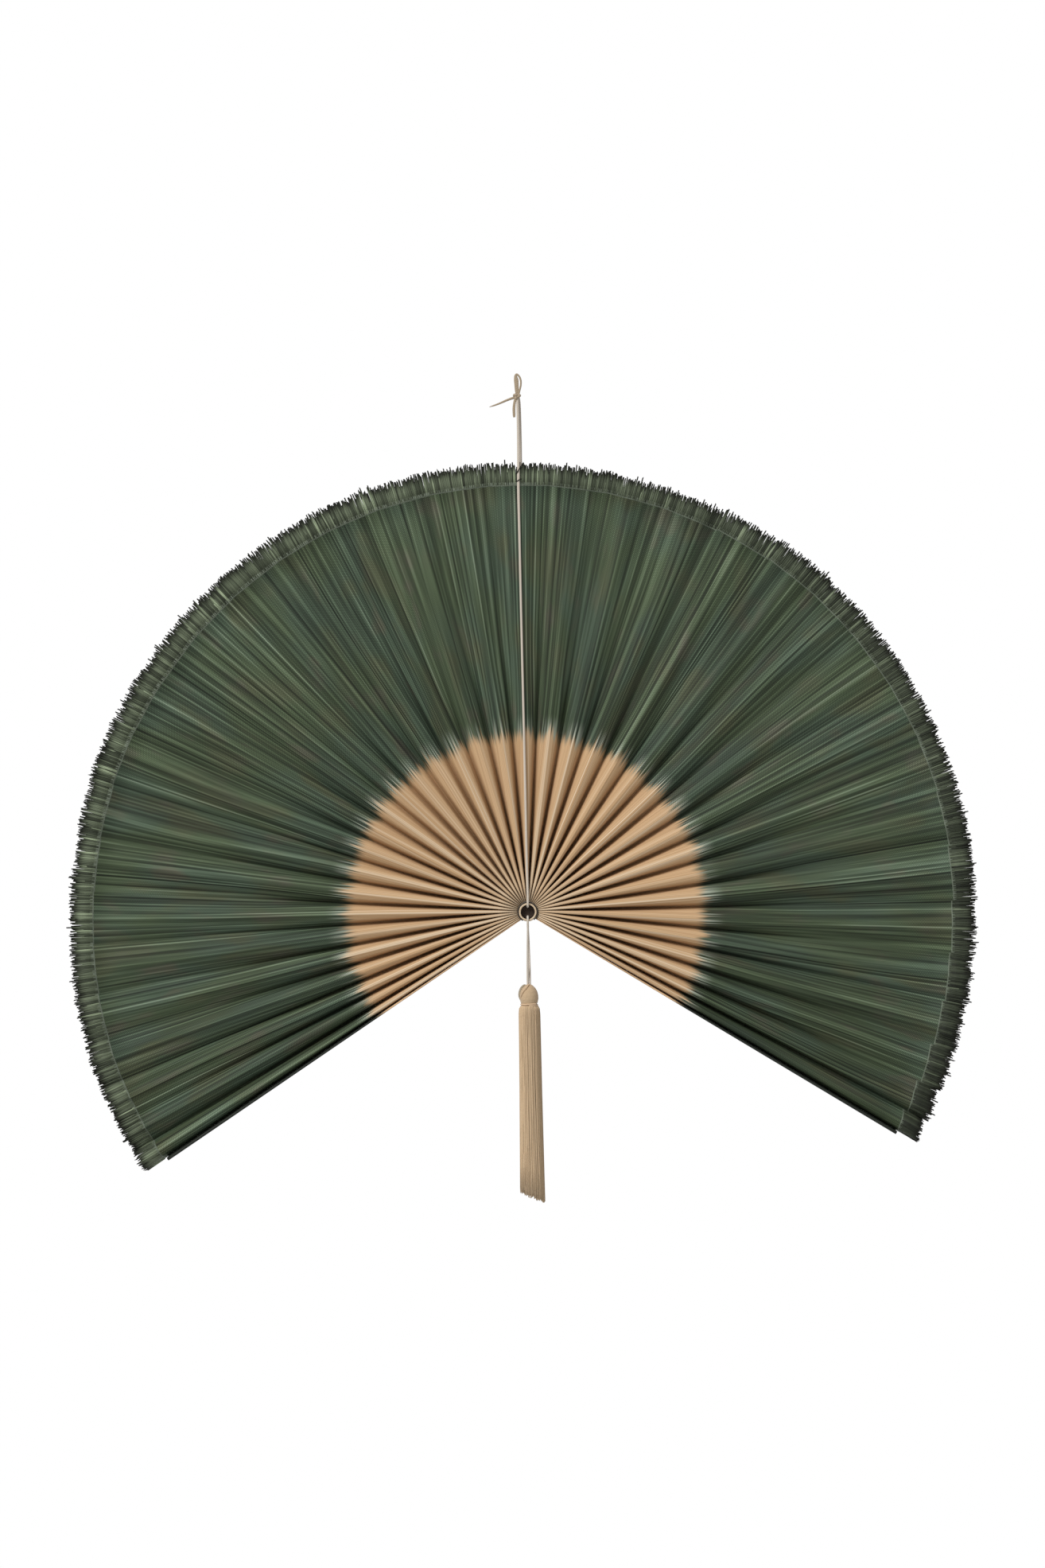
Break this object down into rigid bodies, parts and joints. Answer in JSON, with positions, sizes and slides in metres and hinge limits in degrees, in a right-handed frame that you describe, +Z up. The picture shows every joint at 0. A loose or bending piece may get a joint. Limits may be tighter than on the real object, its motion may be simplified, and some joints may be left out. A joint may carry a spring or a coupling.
{
  "type": "pleated bamboo wall fan",
  "caption": "Open pleated fan of woven split bamboo, dyed green outside a natural middle, with a fringed rim, a hub tube, a hanging cord with a loop, and a long tassel.",
  "frame": {"origin": "the nail, at the top inside the hanging loop", "axes": "+X to the right of the fan seen from the front, +Y to the wall behind it, +Z up"},
  "size_m": [1.0066, 0.0405, 0.9134],
  "materials": {
    "dyed_mat": "woven split-bamboo sticks, dyed green outside a natural tan middle, matt",
    "edge_slat": "smooth grey-green stained bamboo strip, satin",
    "natural_bamboo": "natural bamboo with fine lengthwise grain, satin",
    "dark_wire": "thin dark wire, satin",
    "cotton_cord": "twisted undyed cotton cord, matt",
    "tassel_yarn": "tan cotton yarn, matt"
  },
  "bodies": {
    "hanger": {"hub_tube": "natural_bamboo", "binding_wire": "dark_wire", "hanging_cord": "cotton_cord", "hanging_loop": "cotton_cord", "hanging_knot": "cotton_cord", "knot_tail_long": "cotton_cord", "knot_tail_short": "cotton_cord", "pleat_19": "dyed_mat"},
    "slat_right": {"end_slat_right": "edge_slat"},
    "slat_left": {"end_slat_left": "edge_slat"},
    "pleat_01": {"pleat_01": "dyed_mat"},
    "pleat_02": {"pleat_02": "dyed_mat"},
    "pleat_03": {"pleat_03": "dyed_mat"},
    "pleat_04": {"pleat_04": "dyed_mat"},
    "pleat_05": {"pleat_05": "dyed_mat"},
    "pleat_06": {"pleat_06": "dyed_mat"},
    "pleat_07": {"pleat_07": "dyed_mat"},
    "pleat_08": {"pleat_08": "dyed_mat"},
    "pleat_09": {"pleat_09": "dyed_mat"},
    "pleat_10": {"pleat_10": "dyed_mat"},
    "pleat_11": {"pleat_11": "dyed_mat"},
    "pleat_12": {"pleat_12": "dyed_mat"},
    "pleat_13": {"pleat_13": "dyed_mat"},
    "pleat_14": {"pleat_14": "dyed_mat"},
    "pleat_15": {"pleat_15": "dyed_mat"},
    "pleat_16": {"pleat_16": "dyed_mat"},
    "pleat_17": {"pleat_17": "dyed_mat"},
    "pleat_18": {"pleat_18": "dyed_mat"},
    "pleat_20": {"pleat_20": "dyed_mat"},
    "pleat_21": {"pleat_21": "dyed_mat"},
    "pleat_22": {"pleat_22": "dyed_mat"},
    "pleat_23": {"pleat_23": "dyed_mat"},
    "pleat_24": {"pleat_24": "dyed_mat"},
    "pleat_25": {"pleat_25": "dyed_mat"},
    "pleat_26": {"pleat_26": "dyed_mat"},
    "pleat_27": {"pleat_27": "dyed_mat"},
    "pleat_28": {"pleat_28": "dyed_mat"},
    "pleat_29": {"pleat_29": "dyed_mat"},
    "pleat_30": {"pleat_30": "dyed_mat"},
    "pleat_31": {"pleat_31": "dyed_mat"},
    "pleat_32": {"pleat_32": "dyed_mat"},
    "pleat_33": {"pleat_33": "dyed_mat"},
    "pleat_34": {"pleat_34": "dyed_mat"},
    "pleat_35": {"pleat_35": "dyed_mat"},
    "pleat_36": {"pleat_36": "dyed_mat"},
    "tassel_string": {"tassel_cord": "cotton_cord"},
    "tassel": {"tassel_head": "tassel_yarn", "tassel_neck_binding": "cotton_cord", "tassel_skirt": "tassel_yarn"}
  },
  "joints": [
    {"name": "fan_fold", "type": "hinge", "parent": "hanger", "child": "slat_right", "pos_m": [0.02359, 0, -0.58562], "axis": [0, -1, 0], "range_deg": [0, 118.2], "deforming": ["pleat_19"]},
    {"name": "slat_left_fold", "type": "hinge", "parent": "hanger", "child": "slat_left", "pos_m": [0.00006, 0, -0.5861], "axis": [0, 1, 0], "range_deg": [0, 119.06]},
    {"name": "pleat_01_fold", "type": "hinge", "parent": "hanger", "child": "pleat_01", "pos_m": [0.00015, 0, -0.58607], "axis": [0, 1, 0], "range_deg": [0, 117.91], "deforming": ["pleat_01"]},
    {"name": "pleat_02_fold", "type": "hinge", "parent": "hanger", "child": "pleat_02", "pos_m": [0.00044, 0, -0.58588], "axis": [0, 1, 0], "range_deg": [0, 114.69], "deforming": ["pleat_02"]},
    {"name": "pleat_03_fold", "type": "hinge", "parent": "hanger", "child": "pleat_03", "pos_m": [0.00084, 0, -0.58558], "axis": [0, 1, 0], "range_deg": [0, 110.44], "deforming": ["pleat_03"]},
    {"name": "pleat_04_fold", "type": "hinge", "parent": "hanger", "child": "pleat_04", "pos_m": [0.00132, 0, -0.58522], "axis": [0, 1, 0], "range_deg": [0, 105.38], "deforming": ["pleat_04"]},
    {"name": "pleat_05_fold", "type": "hinge", "parent": "hanger", "child": "pleat_05", "pos_m": [0.00188, 0, -0.58484], "axis": [0, 1, 0], "range_deg": [0, 99.7], "deforming": ["pleat_05"]},
    {"name": "pleat_06_fold", "type": "hinge", "parent": "hanger", "child": "pleat_06", "pos_m": [0.00248, 0, -0.58444], "axis": [0, 1, 0], "range_deg": [0, 93.54], "deforming": ["pleat_06"]},
    {"name": "pleat_07_fold", "type": "hinge", "parent": "hanger", "child": "pleat_07", "pos_m": [0.00313, 0, -0.58406], "axis": [0, 1, 0], "range_deg": [0, 87.02], "deforming": ["pleat_07"]},
    {"name": "pleat_08_fold", "type": "hinge", "parent": "hanger", "child": "pleat_08", "pos_m": [0.00379, 0, -0.58369], "axis": [0, 1, 0], "range_deg": [0, 80.23], "deforming": ["pleat_08"]},
    {"name": "pleat_09_fold", "type": "hinge", "parent": "hanger", "child": "pleat_09", "pos_m": [0.00448, 0, -0.58334], "axis": [0, 1, 0], "range_deg": [0, 73.26], "deforming": ["pleat_09"]},
    {"name": "pleat_10_fold", "type": "hinge", "parent": "hanger", "child": "pleat_10", "pos_m": [0.00519, 0, -0.58302], "axis": [0, 1, 0], "range_deg": [0, 66.15], "deforming": ["pleat_10"]},
    {"name": "pleat_11_fold", "type": "hinge", "parent": "hanger", "child": "pleat_11", "pos_m": [0.0059, 0, -0.58273], "axis": [0, 1, 0], "range_deg": [0, 58.94], "deforming": ["pleat_11"]},
    {"name": "pleat_12_fold", "type": "hinge", "parent": "hanger", "child": "pleat_12", "pos_m": [0.00662, 0, -0.58248], "axis": [0, 1, 0], "range_deg": [0, 51.67], "deforming": ["pleat_12"]},
    {"name": "pleat_13_fold", "type": "hinge", "parent": "hanger", "child": "pleat_13", "pos_m": [0.00734, 0, -0.58225], "axis": [0, 1, 0], "range_deg": [0, 44.35], "deforming": ["pleat_13"]},
    {"name": "pleat_14_fold", "type": "hinge", "parent": "hanger", "child": "pleat_14", "pos_m": [0.00807, 0, -0.58206], "axis": [0, 1, 0], "range_deg": [0, 37.01], "deforming": ["pleat_14"]},
    {"name": "pleat_15_fold", "type": "hinge", "parent": "hanger", "child": "pleat_15", "pos_m": [0.0088, 0, -0.5819], "axis": [0, 1, 0], "range_deg": [0, 29.64], "deforming": ["pleat_15"]},
    {"name": "pleat_16_fold", "type": "hinge", "parent": "hanger", "child": "pleat_16", "pos_m": [0.00954, 0, -0.58177], "axis": [0, 1, 0], "range_deg": [0, 22.25], "deforming": ["pleat_16"]},
    {"name": "pleat_17_fold", "type": "hinge", "parent": "hanger", "child": "pleat_17", "pos_m": [0.01027, 0, -0.58168], "axis": [0, 1, 0], "range_deg": [0, 14.85], "deforming": ["pleat_17"]},
    {"name": "pleat_18_fold", "type": "hinge", "parent": "hanger", "child": "pleat_18", "pos_m": [0.01101, 0, -0.58161], "axis": [0, 1, 0], "range_deg": [0, 7.44], "deforming": ["pleat_18"]},
    {"name": "pleat_20_fold", "type": "hinge", "parent": "hanger", "child": "pleat_20", "pos_m": [0.01252, 0, -0.58158], "axis": [0, -1, 0], "range_deg": [0, 7.71], "deforming": ["pleat_20"]},
    {"name": "pleat_21_fold", "type": "hinge", "parent": "hanger", "child": "pleat_21", "pos_m": [0.01328, 0, -0.58161], "axis": [0, -1, 0], "range_deg": [0, 15.41], "deforming": ["pleat_21"]},
    {"name": "pleat_22_fold", "type": "hinge", "parent": "hanger", "child": "pleat_22", "pos_m": [0.01405, 0, -0.58168], "axis": [0, -1, 0], "range_deg": [0, 23.12], "deforming": ["pleat_22"]},
    {"name": "pleat_23_fold", "type": "hinge", "parent": "hanger", "child": "pleat_23", "pos_m": [0.01482, 0, -0.58179], "axis": [0, -1, 0], "range_deg": [0, 30.83], "deforming": ["pleat_23"]},
    {"name": "pleat_24_fold", "type": "hinge", "parent": "hanger", "child": "pleat_24", "pos_m": [0.01559, 0, -0.58192], "axis": [0, -1, 0], "range_deg": [0, 38.54], "deforming": ["pleat_24"]},
    {"name": "pleat_25_fold", "type": "hinge", "parent": "hanger", "child": "pleat_25", "pos_m": [0.01636, 0, -0.5821], "axis": [0, -1, 0], "range_deg": [0, 46.23], "deforming": ["pleat_25"]},
    {"name": "pleat_26_fold", "type": "hinge", "parent": "hanger", "child": "pleat_26", "pos_m": [0.01712, 0, -0.58231], "axis": [0, -1, 0], "range_deg": [0, 53.91], "deforming": ["pleat_26"]},
    {"name": "pleat_27_fold", "type": "hinge", "parent": "hanger", "child": "pleat_27", "pos_m": [0.01789, 0, -0.58255], "axis": [0, -1, 0], "range_deg": [0, 61.54], "deforming": ["pleat_27"]},
    {"name": "pleat_28_fold", "type": "hinge", "parent": "hanger", "child": "pleat_28", "pos_m": [0.01864, 0, -0.58283], "axis": [0, -1, 0], "range_deg": [0, 69.09], "deforming": ["pleat_28"]},
    {"name": "pleat_29_fold", "type": "hinge", "parent": "hanger", "child": "pleat_29", "pos_m": [0.01939, 0, -0.58315], "axis": [0, -1, 0], "range_deg": [0, 76.51], "deforming": ["pleat_29"]},
    {"name": "pleat_30_fold", "type": "hinge", "parent": "hanger", "child": "pleat_30", "pos_m": [0.02013, 0, -0.58349], "axis": [0, -1, 0], "range_deg": [0, 83.76], "deforming": ["pleat_30"]},
    {"name": "pleat_31_fold", "type": "hinge", "parent": "hanger", "child": "pleat_31", "pos_m": [0.02083, 0, -0.58386], "axis": [0, -1, 0], "range_deg": [0, 90.75], "deforming": ["pleat_31"]},
    {"name": "pleat_32_fold", "type": "hinge", "parent": "hanger", "child": "pleat_32", "pos_m": [0.02151, 0, -0.58425], "axis": [0, -1, 0], "range_deg": [0, 97.37], "deforming": ["pleat_32"]},
    {"name": "pleat_33_fold", "type": "hinge", "parent": "hanger", "child": "pleat_33", "pos_m": [0.02213, 0, -0.58463], "axis": [0, -1, 0], "range_deg": [0, 103.49], "deforming": ["pleat_33"]},
    {"name": "pleat_34_fold", "type": "hinge", "parent": "hanger", "child": "pleat_34", "pos_m": [0.02268, 0, -0.585], "axis": [0, -1, 0], "range_deg": [0, 108.94], "deforming": ["pleat_34"]},
    {"name": "pleat_35_fold", "type": "hinge", "parent": "hanger", "child": "pleat_35", "pos_m": [0.02314, 0, -0.58533], "axis": [0, -1, 0], "range_deg": [0, 113.53], "deforming": ["pleat_35"]},
    {"name": "pleat_36_fold", "type": "hinge", "parent": "hanger", "child": "pleat_36", "pos_m": [0.02348, 0, -0.58556], "axis": [0, -1, 0], "range_deg": [0, 117], "deforming": ["pleat_36"]},
    {"name": "tassel_swing", "type": "hinge", "parent": "hanger", "child": "tassel_string", "pos_m": [0.012, 0, -0.60177], "axis": [0, 1, 0], "range_deg": [-30, 30]},
    {"name": "tassel_nod", "type": "hinge", "parent": "tassel_string", "child": "tassel", "pos_m": [0.01321, 0, -0.67096], "axis": [-1, 0, 0], "range_deg": [-5, 60]}
  ],
  "couplings": [
    {"joint": "slat_left_fold", "follows": "fan_fold", "ratio": 1.0072},
    {"joint": "pleat_01_fold", "follows": "fan_fold", "ratio": 0.99743},
    {"joint": "pleat_02_fold", "follows": "fan_fold", "ratio": 0.97013},
    {"joint": "pleat_03_fold", "follows": "fan_fold", "ratio": 0.93417},
    {"joint": "pleat_04_fold", "follows": "fan_fold", "ratio": 0.8914},
    {"joint": "pleat_05_fold", "follows": "fan_fold", "ratio": 0.84333},
    {"joint": "pleat_06_fold", "follows": "fan_fold", "ratio": 0.79121},
    {"joint": "pleat_07_fold", "follows": "fan_fold", "ratio": 0.73606},
    {"joint": "pleat_08_fold", "follows": "fan_fold", "ratio": 0.67867},
    {"joint": "pleat_09_fold", "follows": "fan_fold", "ratio": 0.61965},
    {"joint": "pleat_10_fold", "follows": "fan_fold", "ratio": 0.55949},
    {"joint": "pleat_11_fold", "follows": "fan_fold", "ratio": 0.49852},
    {"joint": "pleat_12_fold", "follows": "fan_fold", "ratio": 0.43701},
    {"joint": "pleat_13_fold", "follows": "fan_fold", "ratio": 0.37511},
    {"joint": "pleat_14_fold", "follows": "fan_fold", "ratio": 0.31296},
    {"joint": "pleat_15_fold", "follows": "fan_fold", "ratio": 0.25062},
    {"joint": "pleat_16_fold", "follows": "fan_fold", "ratio": 0.18813},
    {"joint": "pleat_17_fold", "follows": "fan_fold", "ratio": 0.12552},
    {"joint": "pleat_18_fold", "follows": "fan_fold", "ratio": 0.062809},
    {"joint": "pleat_20_fold", "follows": "fan_fold", "ratio": 0.065081},
    {"joint": "pleat_21_fold", "follows": "fan_fold", "ratio": 0.13024},
    {"joint": "pleat_22_fold", "follows": "fan_fold", "ratio": 0.19545},
    {"joint": "pleat_23_fold", "follows": "fan_fold", "ratio": 0.26068},
    {"joint": "pleat_24_fold", "follows": "fan_fold", "ratio": 0.3259},
    {"joint": "pleat_25_fold", "follows": "fan_fold", "ratio": 0.39103},
    {"joint": "pleat_26_fold", "follows": "fan_fold", "ratio": 0.45595},
    {"joint": "pleat_27_fold", "follows": "fan_fold", "ratio": 0.52048},
    {"joint": "pleat_28_fold", "follows": "fan_fold", "ratio": 0.58435},
    {"joint": "pleat_29_fold", "follows": "fan_fold", "ratio": 0.6472},
    {"joint": "pleat_30_fold", "follows": "fan_fold", "ratio": 0.70851},
    {"joint": "pleat_31_fold", "follows": "fan_fold", "ratio": 0.76761},
    {"joint": "pleat_32_fold", "follows": "fan_fold", "ratio": 0.82361},
    {"joint": "pleat_33_fold", "follows": "fan_fold", "ratio": 0.8754},
    {"joint": "pleat_34_fold", "follows": "fan_fold", "ratio": 0.92155},
    {"joint": "pleat_35_fold", "follows": "fan_fold", "ratio": 0.96035},
    {"joint": "pleat_36_fold", "follows": "fan_fold", "ratio": 0.98967}
  ]
}
